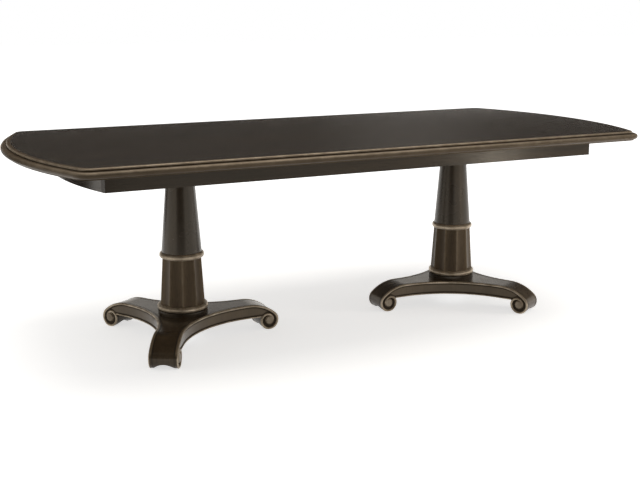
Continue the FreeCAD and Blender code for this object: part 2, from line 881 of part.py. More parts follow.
def leg(half, turn, name, direction):
    """One of the three legs: a mitred third of the base with hollow sides, rolled into a scroll foot."""
    label = f"{half}_leg_{name}"
    body = new_body(label)
    mitre_x = size.leg_hollow_radius * MITRE_COS_SHARE
    mitre_y = size.leg_hollow_radius * MITRE_SIN_SHARE
    plan = new_sketch(body, label + "_plan", "XY_Plane")
    draw(plan, [
        (size_of(0), size_of(0)),
        (mitre_x, -mitre_y, -hollow_arc_radius),
        (hollow_end_x, -size.leg_half_width),
        (scroll_tip_x, -size.leg_half_width),
        (scroll_tip_x, size.leg_half_width),
        (hollow_end_x, size.leg_half_width, -hollow_arc_radius),
        (mitre_x, mitre_y),
    ])
    pad(body, plan, size.leg_top_z)
    over = new_sketch(body, label + "_roll", "XZ_Plane")
    draw(over, [
        (size.roll_start, size.leg_top_z, -roll_radius),
        (roll_end_x, roll_end_z, -size.scroll_radius),
        (scroll_tip_x, scroll_z, -size.scroll_radius),
        (size.scroll_reach + foot_half, size_of(0)),
        (size.scroll_reach + foot_half, -size.overrun),
        (scroll_tip_x + size.overrun, -size.overrun),
        (scroll_tip_x + size.overrun, size.leg_top_z + size.overrun),
        (size.roll_start, size.leg_top_z + size.overrun),
    ])
    cut(body, over)
    under = new_sketch(body, label + "_throat", "XZ_Plane")
    draw(under, [
        (-size.overrun, size.leg_under_z),
        (throat_x, size.leg_under_z, size.scroll_radius),
        (scroll_heel_x, scroll_z, size.scroll_radius),
        (size.scroll_reach - foot_half, size_of(0)),
        (size.scroll_reach - foot_half, -size.overrun),
        (-size.overrun, -size.overrun),
    ])
    cut(body, under)
    arch = new_sketch(body, label + "_arch", "YZ_Plane")
    arch_radius = bow_radius(size.foot_arch_width / 2, size.foot_arch_height)
    draw_circles(arch, [(size_of(0), size.foot_arch_height - arch_radius)], arch_radius)
    cut(body, arch)
    rod_hole = new_sketch(body, label + "_rod_hole", "XY_Plane")
    draw_circles(rod_hole, [(size_of(0), size_of(0))], rod_hole_radius)
    cut(body, rod_hole)
    drill(body, label + "_pilots", base_screw_centres(), screw_hole_radius, size.leg_under_z,
          size.base_screw_bite + size.screw_clearance)
    return place_at(body, label, turn, pedestal_x, direction)


def bead_section(centre, outward, along_face, radius):
    """A half disc whose flat side lies on a face, bulging outward."""
    low = centre - along_face * radius
    high = centre + along_face * radius
    bulge = Part.Arc(low, centre + outward * radius, high).toShape()
    return Part.Face(Part.Wire([bulge, Part.LineSegment(high, low).toShape()]))


def hollow_bead(z, radius):
    """A bead along half of a leg's hollow side, at the height z, from the mitre out."""
    centre = Vector(float(hollow_end_x), float(hollow_centre * MITRE_SIN_SHARE), z)
    start = Vector(float(hollow_end_x), float(size.leg_half_width), z)
    section = bead_section(start, ALONG_Y, UP, radius)
    return section.revolve(centre, UP, MITRE - QUARTER_TURN)


def straight_bead(start_x, end_x, z, radius):
    start = Vector(start_x, float(size.leg_half_width), z)
    return bead_section(start, ALONG_Y, UP, radius).extrude(Vector(end_x - start_x, 0, 0))


def scroll_arc(centre_x, centre_z, path_radius, start, sweep, radius):
    """A bead on the leg's flat side, round a centre, from an angle start clockwise by sweep, in degrees."""
    outward = Vector(math.cos(math.radians(start)), 0, math.sin(math.radians(start)))
    centre = Vector(centre_x, float(size.leg_half_width), centre_z)
    section = bead_section(centre + outward * path_radius, ALONG_Y, outward, radius)
    return section.revolve(centre, ALONG_Y, sweep)


def edge_bead():
    """The gilded bead of a leg's side: along the hollow, over the roll and round the scroll to its eye."""
    radius = float(size.edge_bead_radius)
    inset = radius - float(size.edge_bead_proud)
    z = float(size.leg_top_z) - inset
    reach = float(size.scroll_reach)
    eye_z = float(scroll_z)
    rim = float(size.scroll_radius) - inset
    roll_angle = float(angle_of(roll_end_z - roll_centre_z, roll_end_x - size.roll_start))
    inner = float(size.scroll_turn_radius)
    pieces = [
        hollow_bead(z, radius),
        straight_bead(float(hollow_end_x), float(size.roll_start), z, radius),
        scroll_arc(float(size.roll_start), float(roll_centre_z), float(roll_radius) - inset,
                   QUARTER_TURN, QUARTER_TURN - roll_angle, radius),
        scroll_arc(reach, eye_z, rim, roll_angle, roll_angle + HALF_TURN, radius),
        scroll_arc(reach - rim + inner, eye_z, inner, HALF_TURN, HALF_TURN, radius),
    ]
    eye_centre = Vector(reach, float(size.leg_half_width), eye_z)
    pieces.append(Part.makeCone(float(size.scroll_eye_radius), float(size.scroll_eye_radius) - inset,
                                float(size.scroll_eye_height), eye_centre, ALONG_Y))
    solid = pieces[0].fuse(pieces[1:])
    floor = Part.makeBox(2 * reach, 2 * reach, reach, Vector(0, -reach, -reach))
    return solid.cut(floor).removeSplitter()


def lower_bead():
    """The thin gilded bead on a side's lower edge, up to the scroll."""
    radius = float(size.lower_bead_radius)
    z = float(size.leg_under_z) + radius
    rim = float(size.scroll_radius + size.edge_bead_proud)
    drop = z + radius - float(scroll_z)
    end_x = float(size.scroll_reach) - math.sqrt(rim * rim - drop * drop) - radius
    pieces = [hollow_bead(z, radius), straight_bead(float(hollow_end_x), end_x, z, radius)]
    return pieces[0].fuse(pieces[1:]).removeSplitter()


def base_beads(half, turn):
    """All the beads of a pedestal's three legs, both sides of each."""
    beads = []
    for one_side in (edge_bead(), lower_bead()):
        other_side = one_side.mirror(Vector(), ALONG_Y)
        for bead in (one_side, other_side):
            for i in range(LEGS):
                copy = bead.copy()
                copy.rotate(Vector(), UP, i * FULL_TURN / LEGS)
                beads += copy.Solids
    group = doc.addObject("Part::Feature", half + "_base_beads")
    group.Shape = Part.makeCompound(beads)
    return place_at(group, half + "_base_beads", turn, pedestal_x)


def base_plate(half, turn):
    """Round plate under the legs that ties them together and takes the rod's pull."""
    label = half + "_base_plate"
    body = new_body(label)
    sketch = new_sketch(body, label + "_outline", "XY_Plane", plate_under_z)
    draw_circles(sketch, [(size_of(0), size_of(0))], size.base_plate_radius)
    pad(body, sketch, size.base_plate_thickness)
    drill(body, label + "_rod_hole", [(size_of(0), size_of(0))], rod_hole_radius, plate_under_z,
          size.base_plate_thickness)
    drill(body, label + "_screw_holes", all_base_screws(), screw_hole_radius, plate_under_z,
          size.base_plate_thickness)
    return place_at(body, label, turn, pedestal_x)


def all_base_screws():
    centres = []
    for i in range(2 * LEGS):
        angle = math.radians(MITRE / 2 + i * MITRE)
        centres.append((size.base_screw_circle * math.cos(angle), size.base_screw_circle * math.sin(angle)))
    return centres


def hexagon(width):
    """Corners of a nut's outline, from its width across flats."""
    corner = width / (2 * math.cos(math.radians(MITRE / 2)))
    angles = [math.radians(MITRE * i) for i in range(2 * LEGS)]
    return [(corner * math.cos(a), corner * math.sin(a)) for a in angles]


def tie_rod(half, turn):
    """Threaded rod through the whole pedestal with a washered nut at each end."""
    label = half + "_tie_rod"
    body = new_body(label)
    low_z = plate_under_z - size.washer_thickness - size.nut_height - size.rod_end
    high_z = bearer_under_z + size.washer_thickness + size.nut_height + size.rod_end
    origin = [(size_of(0), size_of(0))]
    rod = new_sketch(body, label + "_rod", "XY_Plane", low_z)
    draw_circles(rod, origin, size.rod_radius)
    pad(body, rod, high_z - low_z)
    stations = [
        ("low_washer", plate_under_z - size.washer_thickness, size.washer_thickness),
        ("low_nut", plate_under_z - size.washer_thickness - size.nut_height, size.nut_height),
        ("top_washer", bearer_under_z, size.washer_thickness),
        ("top_nut", bearer_under_z + size.washer_thickness, size.nut_height),
    ]
    for name, z, height in stations:
        sketch = new_sketch(body, f"{label}_{name}", "XY_Plane", z)
        if name.endswith("nut"):
            draw(sketch, hexagon(size.nut_width))
        else:
            draw_circles(sketch, origin, size.washer_radius)
        draw_circles(sketch, origin, size.rod_radius + size.nut_clearance)
        pad(body, sketch, height)
    return place_at(body, label, turn, pedestal_x)


def build_half(half, turn):
    """One half of the table. The first side is the front on the left half and the back on the right."""
    first, second = ("front", "back") if half == "left" else ("back", "front")
    top_panel(half, turn)
    edge_moulding(half, turn)
    for side, sign in ((first, -1), (second, 1)):
        apron_side(half, turn, side, sign)
        slide_side(half, turn, side, sign)
    apron_end(half, turn)
    corner_blocks(half, turn)
    seam_batten(half, turn)
    bearer(half, turn)
    top_screw_centres = bearer_screw_centres() + batten_screw_centres()
    screws(half + "_top_screws", half + "_top_screws", turn, top_screw_centres, bearer_under_z,
           size.bearer_thickness + size.screw_bite)
    screws(half + "_slide_screws", half + "_slide_screws", turn, slide_screw_centres(half), slide_low_z,
           size.slide_height + size.screw_bite)
    head_plate(half, turn)
    screws(half + "_head_screws", half + "_head_screws", turn, head_screw_centres(), head_under_z,
           size.head_plate_thickness + size.screw_bite, pedestal_x)
    column_upper(half, turn)
    ring(half, turn, "mid_ring", size.mid_ring_radius, mid_ring_low_z, mid_ring_high_z)
    column_lower(half, turn)
    ring(half, turn, "low_ring", size.low_ring_radius, low_ring_low_z, low_ring_high_z)
    collar(half, turn)
    for i, name in enumerate(("inner", second, first)):
        leg(half, turn, name, i * FULL_TURN / LEGS)
    base_beads(half, turn)
    base_plate(half, turn)
    screws(half + "_base_screws", half + "_base_screws", turn, all_base_screws(), plate_under_z,
           size.base_plate_thickness + size.base_screw_bite, pedestal_x)
    tie_rod(half, turn)


build_half("left", 0)
build_half("right", HALF_TURN)
for lock_side, lock_sign in (("front", -1), ("back", 1)):
    slide_middle(lock_side, lock_sign)
    lock_lever(lock_side, lock_sign)
alignment_dowels()
lock_pins("left_lock_pivots", 0)
lock_pins("right_lock_pins", HALF_TURN)
doc.recompute()

faults = [o.Label for o in doc.Objects if "Invalid" in o.State or "Error" in o.State]
faults += [n.Label for n in nodes if n.Shape.isNull() or not n.Shape.isValid()]
if faults:
    raise RuntimeError("failed pieces: " + ", ".join(faults))

os.makedirs("parts", exist_ok=True)
for node in nodes:
    node.Shape.exportStep(os.path.join("parts", node.Label + ".step"))
print(len(nodes), "sub-parts written")
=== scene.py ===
# %% [markdown]
# # A double pedestal dining table
#
# The table is long and dark, with bowed ends and a moulded edge, and it stands on two turned pedestals
# with scrolled legs. Its pieces could be built here in mesh code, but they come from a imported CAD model,
# so that their sizes and joints are exact. This lesson keeps every shape as it is, mixes a finish for it
# from shader nodes, and then sets up the floor, the room, the lamps and the camera.

# %% Load the table
import bpy
import math
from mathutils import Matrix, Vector


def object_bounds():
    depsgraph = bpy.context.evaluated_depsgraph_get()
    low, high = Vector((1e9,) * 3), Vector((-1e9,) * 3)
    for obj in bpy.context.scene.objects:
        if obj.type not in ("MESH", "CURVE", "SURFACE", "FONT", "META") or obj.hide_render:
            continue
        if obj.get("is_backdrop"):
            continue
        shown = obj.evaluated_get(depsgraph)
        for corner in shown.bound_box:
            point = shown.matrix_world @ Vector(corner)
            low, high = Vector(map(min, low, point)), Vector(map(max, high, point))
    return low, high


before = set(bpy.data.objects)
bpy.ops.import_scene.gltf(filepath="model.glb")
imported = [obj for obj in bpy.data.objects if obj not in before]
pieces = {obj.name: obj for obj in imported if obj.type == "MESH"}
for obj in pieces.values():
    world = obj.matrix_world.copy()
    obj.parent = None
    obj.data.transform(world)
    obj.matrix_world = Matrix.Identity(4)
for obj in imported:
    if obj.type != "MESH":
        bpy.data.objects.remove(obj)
cad_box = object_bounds()
print(len(pieces), "pieces loaded")

# %% [markdown]
# ## Small tools for wiring nodes
#
# A finish is a web of small nodes. They could be made and linked one line at a time, as with the mouse,
# but that takes ten lines for one mask. So `feed` links a socket or sets its value, `add` makes a node and
# feeds its inputs in order, and `set_inputs` feeds them by name. A value that is the same all over a
# surface then sits on the shader's own socket.


# %% Wiring tools
def feed(tree, socket, value):
    if isinstance(value, bpy.types.NodeSocket):
        tree.links.new(value, socket)
    elif value is not None:
        socket.default_value = value


def add(tree, kind, ins=(), **settings):
    node = tree.nodes.new("ShaderNode" + kind)
    for name, value in settings.items():
        setattr(node, name, value)
    for socket, value in zip(node.inputs, ins):
        feed(tree, socket, value)
    return node


def set_inputs(tree, node, values):
    for name, value in values.items():
        feed(tree, node.inputs[name], value)


print("wiring tools ready")

# %% [markdown]
# ## Sums, masks and mixes
#
# Grain, wear and glaze all come down to masks: numbers from 0 to 1 that say how much of a colour lies at a
# spot. They could be painted as pictures, but those need an unwrapped mesh and blur close up. Reckoned
# masks stay sharp. `step` turns a range of a number into a soft mask, `vary` fits a mask between two
# values, `band` keeps what lies between a rise and a fall, and `tint` and `pick` mix colours and numbers.

# %% Sums, masks and mixes
MIX_COLOUR_INPUTS = (0, 6, 7)       # a Mix node also has sockets for numbers and vectors
MIX_COLOUR_OUTPUT = 2


def reckon(tree, operation, *ins):
    return add(tree, "Math", ins, operation=operation).outputs[0]


def times(tree, first, second):
    return reckon(tree, "MULTIPLY", first, second)


def step(tree, value, start, end, low=0.0, high=1.0):
    node = add(tree, "MapRange", (value, start, end, low, high), interpolation_type="SMOOTHSTEP")
    return node.outputs[0]


def vary(tree, mask, low, high):
    return step(tree, mask, 0.0, 1.0, low, high)


def band(tree, value, rise, fall):
    return times(tree, step(tree, value, *rise), step(tree, value, *fall))


def tint(tree, share, first, second):
    node = add(tree, "Mix", data_type="RGBA")
    for index, value in zip(MIX_COLOUR_INPUTS, (share, first, second)):
        feed(tree, node.inputs[index], value)
    return node.outputs[MIX_COLOUR_OUTPUT]


def pick(tree, share, first, second):
    return add(tree, "Mix", (share, None, first, second), data_type="FLOAT").outputs[0]


print("masks and mixes ready")

# %% [markdown]
# ## Places
#
# A finish has to know where it is on the table. It could follow an unwrapped mesh, but the Object
# coordinates are simpler: every piece has its origin where the table has it, so they are metres in the
# table's own frame, and a pattern keeps its size from piece to piece.


# %% Places
def place_of(tree):
    return add(tree, "TexCoord").outputs["Object"]


def parts_of(tree, vector):
    return add(tree, "SeparateXYZ", (vector,)).outputs


def facing_up(tree):
    """1 where a surface looks up, 0 where it is upright, -1 where it looks down."""
    return parts_of(tree, add(tree, "NewGeometry").outputs["Normal"])[2]


def span(tree, a, b, centre=(0.0, 0.0)):
    """The distance of a spot from a centre, on two axes."""
    spot = add(tree, "CombineXYZ", (a, b)).outputs[0]
    return add(tree, "VectorMath", (spot, (*centre, 0.0)), operation="DISTANCE").outputs["Value"]


def stretch(tree, place, scale):
    return add(tree, "Mapping", (place, None, None, scale)).outputs[0]


def noise(tree, place, scale, detail, roughness):
    return add(tree, "TexNoise", (place, None, scale, detail, roughness)).outputs[0]


print("places ready")

# %% [markdown]
# ## Shared effects as node groups
#
# Several finishes need the same grain and the same wear. Their nodes could be copied into each material, but
# then every change has to be made in every copy. A node group is built once and placed in each material as
# one node. Each group in this lesson is given a place and puts out two numbers for it.


# %% Node groups
def new_group(name, *labels):
    """A node group that is given a place and puts out numbers."""
    tree = bpy.data.node_groups.new(name, "ShaderNodeTree")
    tree.interface.new_socket("Place", in_out="INPUT", socket_type="NodeSocketVector")
    for label in labels:
        tree.interface.new_socket(label, in_out="OUTPUT", socket_type="NodeSocketFloat")
    place = tree.nodes.new("NodeGroupInput").outputs["Place"]
    return tree, place, tree.nodes.new("NodeGroupOutput")


def use_group(tree, group, place):
    node = tree.nodes.new("ShaderNodeGroup")
    node.node_tree = group
    feed(tree, node.inputs["Place"], place)
    return node.outputs


print("node groups ready")

# %% [markdown]
# ## Wood grain
#
# Lacquered or bare, the wood shows a broad figure and fine dark pores, both drawn out along the grain. A
# picture of wood could be wrapped round each piece, but its seams would show. Noise that is squeezed across
# the grain has no seams. The grain runs along the first axis of the place that the group is given.

# %% Wood grain
FIGURE_SQUEEZE = (0.7, 9, 9)
FIGURE_NOISE = (2.2, 4.0, 0.55)     # scale, detail, roughness
FIGURE_RANGE = (0.3, 0.7)
PORE_SQUEEZE = (9, 420, 420)
PORE_NOISE = (1.0, 2.0, 0.6)
PORE_RANGE = (0.52, 0.72)


def make_wood_grain():
    tree, place, results = new_group("wood grain", "Figure", "Pores")
    figure = noise(tree, stretch(tree, place, FIGURE_SQUEEZE), *FIGURE_NOISE)
    pores = noise(tree, stretch(tree, place, PORE_SQUEEZE), *PORE_NOISE)
    set_inputs(tree, results, {"Figure": step(tree, figure, *FIGURE_RANGE),
                               "Pores": step(tree, pores, *PORE_RANGE)})
    return tree


wood_grain = make_wood_grain()
print("node group made:", wood_grain.name)

# %% [markdown]
# ## Worn patches
#
# Lacquer, gold and zinc were all brushed, wiped or handled, so none of them is even. Dirt could be painted
# on each piece, but with 59 pieces that is slow. One more node group gives every finish the same two masks:
# soft clouds a few centimetres wide, as a wiping cloth leaves them, and specks of a few millimetres.

# %% Worn patches
CLOUD_NOISE = (26.0, 3.0, 0.5)
CLOUD_RANGE = (0.25, 0.75)
SPECK_NOISE = (420.0, 2.0, 0.5)
SPECK_RANGE = (0.55, 0.7)


def make_worn_patches():
    tree, place, results = new_group("worn patches", "Cloud", "Specks")
    cloud = noise(tree, place, *CLOUD_NOISE)
    specks = noise(tree, place, *SPECK_NOISE)
    set_inputs(tree, results, {"Cloud": step(tree, cloud, *CLOUD_RANGE),
                               "Specks": step(tree, specks, *SPECK_RANGE)})
    return tree


worn_patches = make_worn_patches()
print("node group made:", worn_patches.name)

# %% [markdown]
# ## The stained wood
#
# Under the lacquer the wood is stained nearly black. Brown shows where the stain is thinner, along the
# figure and in the worn clouds, and the pores hold the most stain. One dark brown would do from afar, but
# close up it looks like plastic. So two browns are mixed by the figure, and the grain is turned to run
# along each piece: along the table on the top and the side rails, and upright on the columns.

# %% Stained wood
ESPRESSO = (0.022, 0.0158, 0.0103, 1)
UMBER = (0.042, 0.0290, 0.0180, 1)
WALNUT = (0.052, 0.0360, 0.0220, 1)
CHESTNUT = (0.092, 0.0650, 0.0390, 1)
TOFFEE = (0.135, 0.0980, 0.0610, 1)
PORE_BLACK = (0.010, 0.0072, 0.0050, 1)
FIGURE_SHARE = 0.75
CLOUD_SHARE = 0.12
PORE_SHARE = 0.5
GRAIN_AXES = {"length": (0, 1, 2), "width": (1, 0, 2), "height": (2, 0, 1)}


def grain_place(tree, along):
    axes = parts_of(tree, place_of(tree))
    order = [axes[i] for i in GRAIN_AXES[along]]
    return add(tree, "CombineXYZ", order).outputs[0]


def stained_wood(tree, along, dark, light):
    """The wood's colour, and its pores for the dents."""
    figure, pores = use_group(tree, wood_grain, grain_place(tree, along))
    cloud, _ = use_group(tree, worn_patches, place_of(tree))
    brown = tint(tree, times(tree, figure, FIGURE_SHARE), dark, light)
    brown = tint(tree, times(tree, cloud, CLOUD_SHARE), brown, light)
    return tint(tree, times(tree, pores, PORE_SHARE), brown, PORE_BLACK), pores


print("stains for grain along the", ", ".join(GRAIN_AXES))

# %% [markdown]
# ## Materials and dents
#
# Every finish starts from a new material with one Principled shader, and most end in fine dents: pores in
# the wood, or gold laid by hand. Dents could be cut into the mesh, but these are far finer than its faces.
# A Bump node only tilts the light. It is given a height, a depth in metres and a strength.


# %% Materials and dents
def new_material(name):
    material = bpy.data.materials.new(name)
    material.use_nodes = True
    return material, material.node_tree, material.node_tree.nodes["Principled BSDF"]


def dent(tree, shader, height, depth, strength):
    bump = add(tree, "Bump")
    set_inputs(tree, bump, {"Strength": strength, "Distance": depth, "Height": height})
    set_inputs(tree, shader, {"Normal": bump.outputs[0]})


print("materials and dents ready")

# %% [markdown]
# ## The lacquer
#
# Over the stain lies a clear, slightly amber film, rubbed to a satin gloss: smoothest on the top, a little
# duller on the rails and columns. The shader's Coat could be a second layer for it, but its own reflection
# is enough and leaves fewer values to set. That is tinted amber, its roughness drifts a little, as rubbing by
# hand leaves it, and the pores dent it. `dull` marks spots where the film is matt, under painted shade.

# %% Lacquer
AMBER_SHEEN = (1.0, 0.92, 0.79, 1)
RUB_NOISE = (9.0, 3.0, 0.5)
RUB_RANGE = (0.3, 0.7)
DULL_ROUGHNESS = 0.9
FILM_DENT = (0.0002, 0.08)          # depth in metres, strength


def satin_film(tree, shader, pores, roughness, specular, dull=None):
    rub = noise(tree, place_of(tree), *RUB_NOISE)
    film = step(tree, rub, *RUB_RANGE, *roughness)
    if dull is not None:
        film = reckon(tree, "MAXIMUM", film, times(tree, dull, DULL_ROUGHNESS))
    set_inputs(tree, shader, {"Roughness": film, "Specular IOR Level": specular,
                              "Specular Tint": AMBER_SHEEN})
    dent(tree, shader, pores, *FILM_DENT)


def make_lacquer(name, along, light, roughness, specular):
    material, tree, shader = new_material(name)
    colour, pores = stained_wood(tree, along, ESPRESSO, light)
    set_inputs(tree, shader, {"Base Color": colour})
    satin_film(tree, shader, pores, roughness, specular)
    return material


top_lacquer = make_lacquer("top lacquer", "length", UMBER, roughness=(0.13, 0.16), specular=0.25)
rail_lacquer = make_lacquer("rail lacquer", "length", WALNUT, roughness=(0.20, 0.25), specular=0.25)
end_rail_lacquer = make_lacquer("end rail lacquer", "width", WALNUT, roughness=(0.17, 0.21), specular=0.47)
upper_lacquer = make_lacquer("upper column lacquer", "height", WALNUT, roughness=(0.24, 0.30), specular=0.43)
for material in (top_lacquer, rail_lacquer, end_rail_lacquer, upper_lacquer):
    print("finish mixed:", material.name)

# %% [markdown]
# ## Round a pedestal
#
# A column's flutes and a pedestal's legs both repeat evenly round its middle. Each flute and leg could be
# marked by hand on the mesh. Instead, the bearing of a spot round its pedestal is folded, as paper is, onto
# one half of one share of the turn, so one sum serves them all. The two pedestals mirror each other, so how
# far a spot lies from the table's middle counts, and not on which side.

# %% Round a pedestal
PEDESTAL_X = 0.608                  # from the table's middle to a pedestal's, in metres


def from_pedestal(tree, place):
    """How far a spot lies from its pedestal's middle, along and across the table, and its bearing."""
    x, y, _ = parts_of(tree, place)
    along = reckon(tree, "SUBTRACT", PEDESTAL_X, reckon(tree, "ABSOLUTE", x))
    return along, y, reckon(tree, "ARCTAN2", y, along)


def fold(tree, bearing, share):
    """Fold the equal shares of a turn onto one half of one share."""
    within = reckon(tree, "FLOORED_MODULO", bearing, share)
    return reckon(tree, "ABSOLUTE", reckon(tree, "SUBTRACT", within, share / 2))


print("pedestals stand", 2 * PEDESTAL_X, "m apart")

# %% [markdown]
# ## Where a spot lies on its leg
#
# Each pedestal stands on three legs, 120 degrees apart, and the sides between them are hollowed to a round
# curve. Gilded beads and dark lines follow that curve. They could be marked by vertex colours, but those
# are only as fine as the mesh. A node group reckons them instead: *Inset* is how far a spot lies in from the
# side of its leg, and *Reach* is how far it lies out from the pedestal's middle.

# %% Leg inset
LEG_SHARE = math.radians(120)
LEG_HALF_WIDTH = 0.0485
LEG_HOLLOW = 0.116                  # from the pedestal's middle to the hollow side

half_share = LEG_SHARE / 2
lean = math.sin(half_share)
hollow_radius = (LEG_HOLLOW * lean - LEG_HALF_WIDTH) / (1 - lean)
hollow_x = (LEG_HOLLOW + hollow_radius) * math.cos(half_share)
hollow_y = (LEG_HOLLOW + hollow_radius) * lean


def make_leg_inset():
    tree, place, results = new_group("leg inset", "Inset", "Reach")
    along, across, bearing = from_pedestal(tree, place)
    far = span(tree, along, across)
    own = fold(tree, reckon(tree, "ADD", bearing, half_share), LEG_SHARE)
    reach = times(tree, far, reckon(tree, "COSINE", own))
    aside = times(tree, far, reckon(tree, "SINE", own))
    from_curve = span(tree, reach, aside, (hollow_x, hollow_y))
    round_inset = reckon(tree, "SUBTRACT", from_curve, hollow_radius)
    flat_inset = reckon(tree, "SUBTRACT", LEG_HALF_WIDTH, aside)
    past_curve = reckon(tree, "GREATER_THAN", reach, hollow_x)
    set_inputs(tree, results, {"Inset": pick(tree, past_curve, round_inset, flat_inset),
                               "Reach": reach})
    return tree


leg_inset = make_leg_inset()
print("the legs' sides are hollowed to a radius of", round(hollow_radius, 3), "m")

# %% [markdown]
# ## The gilding
#
# The columns' rings and the legs' beads are gilded: dull champagne gold over bronze, toned down with a brown
# glaze that stays in specks and on the round eyes of the scrolls. A polished metal shader would mirror the
# room and look like brass. So the gold is only half metallic, its roughness follows the wiped clouds, and
# the same clouds dent it a little, as gold laid by hand is never quite flat.

# %% Gilding
CHAMPAGNE = (0.590, 0.496, 0.377, 1)
OLD_BRONZE = (0.275, 0.217, 0.150, 1)
GLAZE_BROWN = (0.052, 0.036, 0.022, 1)
GOLD_ROUGHNESS = (0.48, 0.30)       # where the glaze stayed, where it was wiped off
GOLD_METALLIC = 0.5
GOLD_DENT = (0.0004, 0.35)
GOLD_SPECKS = 0.6
EYE_CENTRE = (0.338, 0.0366)        # reach and height
EYE_RADIUS = 0.018
EYE_FADE = (EYE_RADIUS * 1.15, EYE_RADIUS * 0.8)
EYE_GLAZE = 0.45


def eye_mask(tree):
    """1 on the round eyes of the scrolls, 0 elsewhere."""
    place = place_of(tree)
    _, reach = use_group(tree, leg_inset, place)
    away = span(tree, reach, parts_of(tree, place)[2], EYE_CENTRE)
    return step(tree, away, *EYE_FADE)


def make_gilding():
    material, tree, shader = new_material("glazed gilding")
    cloud, specks = use_group(tree, worn_patches, place_of(tree))
    gold = tint(tree, cloud, OLD_BRONZE, CHAMPAGNE)
    gold = tint(tree, times(tree, specks, GOLD_SPECKS), gold, GLAZE_BROWN)
    gold = tint(tree, times(tree, eye_mask(tree), EYE_GLAZE), gold, GLAZE_BROWN)
    set_inputs(tree, shader, {"Base Color": gold, "Metallic": GOLD_METALLIC,
                              "Roughness": vary(tree, cloud, *GOLD_ROUGHNESS)})
    dent(tree, shader, cloud, *GOLD_DENT)
    return material


gilding = make_gilding()
print("finish mixed:", gilding.name)

# %% [markdown]
# ## Gold on the moulded edge
#
# Round the top runs a moulding of two beads with a groove between them. Gold was rubbed over the beads, so
# it lies on their crests, and the dark lacquer shows in the groove and below. At the middle of the bowed ends
# the lower bead has less gold: painted shade, as those ends face away from the light. The gold could be its
# own strip of mesh, but rubbed gold has no sharp border. Height under the top says which bead a spot is on,
# and the mask fades out at its foot.

# %% Gold on the edge
TOP_HEIGHT = 0.762
CREST_RISE = (TOP_HEIGHT - 0.0075, TOP_HEIGHT - 0.0045)
CREST_FLAT = (0.97, 0.86)           # the flat top beside the upper bead stays dark
SWELL_RISE = (TOP_HEIGHT - 0.022, TOP_HEIGHT - 0.014, 0.15, 1.0)    # two heights, gold left at each
SWELL_FALL = (TOP_HEIGHT - 0.0102, TOP_HEIGHT - 0.0112)
# painted shade: the lower bead's gold fades towards the middle of each bowed end
END_PAINTED_SHADE = (0.10, 0.42, 0.30, 1.0)  # metres from an end's middle, gold left at each
CREST_GOLD = 0.6
SWELL_GOLD = 0.34


def edge_gold(tree):
    """How much gold lies at a spot of the moulded edge, with less at the middle of the bowed ends as painted
    shade.
    """
    _, y, z = parts_of(tree, place_of(tree))
    crest = times(tree, step(tree, z, *CREST_RISE), step(tree, facing_up(tree), *CREST_FLAT))
    swell = band(tree, z, SWELL_RISE, SWELL_FALL)
    # painted shade: less gold towards the middle of the bowed ends
    swell = times(tree, swell, step(tree, reckon(tree, "ABSOLUTE", y), *END_PAINTED_SHADE))
    return reckon(tree, "ADD", times(tree, crest, CREST_GOLD), times(tree, swell, SWELL_GOLD))


print("gold on the upper bead", CREST_GOLD, "and on the lower bead", SWELL_GOLD)

# %% [markdown]
# ## The edge's finish
#
# The edge's lacquer is browner and duller than the top's, and the gold is mixed over it by the share that was
# just reckoned. It is thicker in the wiped clouds, and brown specks are left in it. A second material for the
# gold would need faces of its own, so one shader does both: it turns more metallic where gold lies.

# %% Edge finish
PATCHES = (0.85, 1.0)
EDGE_TONE = (0.45, 0.95)
EDGE_SPECKS = 0.4
EDGE_METALLIC = 0.6


def make_edge_finish():
    material, tree, shader = new_material("edge lacquer with rubbed gold")
    colour, pores = stained_wood(tree, "length", WALNUT, CHESTNUT)
    cloud, specks = use_group(tree, worn_patches, place_of(tree))
    patchy = times(tree, edge_gold(tree), vary(tree, cloud, *PATCHES))
    gold = tint(tree, vary(tree, cloud, *EDGE_TONE), OLD_BRONZE, CHAMPAGNE)
    gold = tint(tree, times(tree, specks, EDGE_SPECKS), gold, GLAZE_BROWN)
    set_inputs(tree, shader, {"Base Color": tint(tree, patchy, colour, gold),
                              "Metallic": times(tree, patchy, EDGE_METALLIC)})
    satin_film(tree, shader, pores, roughness=(0.34, 0.44), specular=0.18)
    return material


edge_finish = make_edge_finish()
print("finish mixed:", edge_finish.name)

# %% [markdown]
# ## The flutes
#
# The lower part of each column has ten shallow flutes. Their wood is a lighter brown, the hollows are
# darkened with painted shade, and the ridges between them were rubbed until bronze shows, which also paints a
# highlight along each ridge. Edge wear is often taken from a Pointiness mask, but that depends on how fine
# the mesh is.
# The flutes stand at even bearings round the column, so the same folding as on the legs finds each hollow and
# ridge exactly.

# %% Flutes
FLUTE_SHARE = math.radians(36)
HOLLOW_FADE = (FLUTE_SHARE * 0.38, FLUTE_SHARE * 0.05)
RIDGE_FADE = (FLUTE_SHARE * 0.36, FLUTE_SHARE * 0.49)
HOLLOW_SHADE = 0.45
RIDGE_RUB_AND_HIGHLIGHT = (0.25, 0.45)


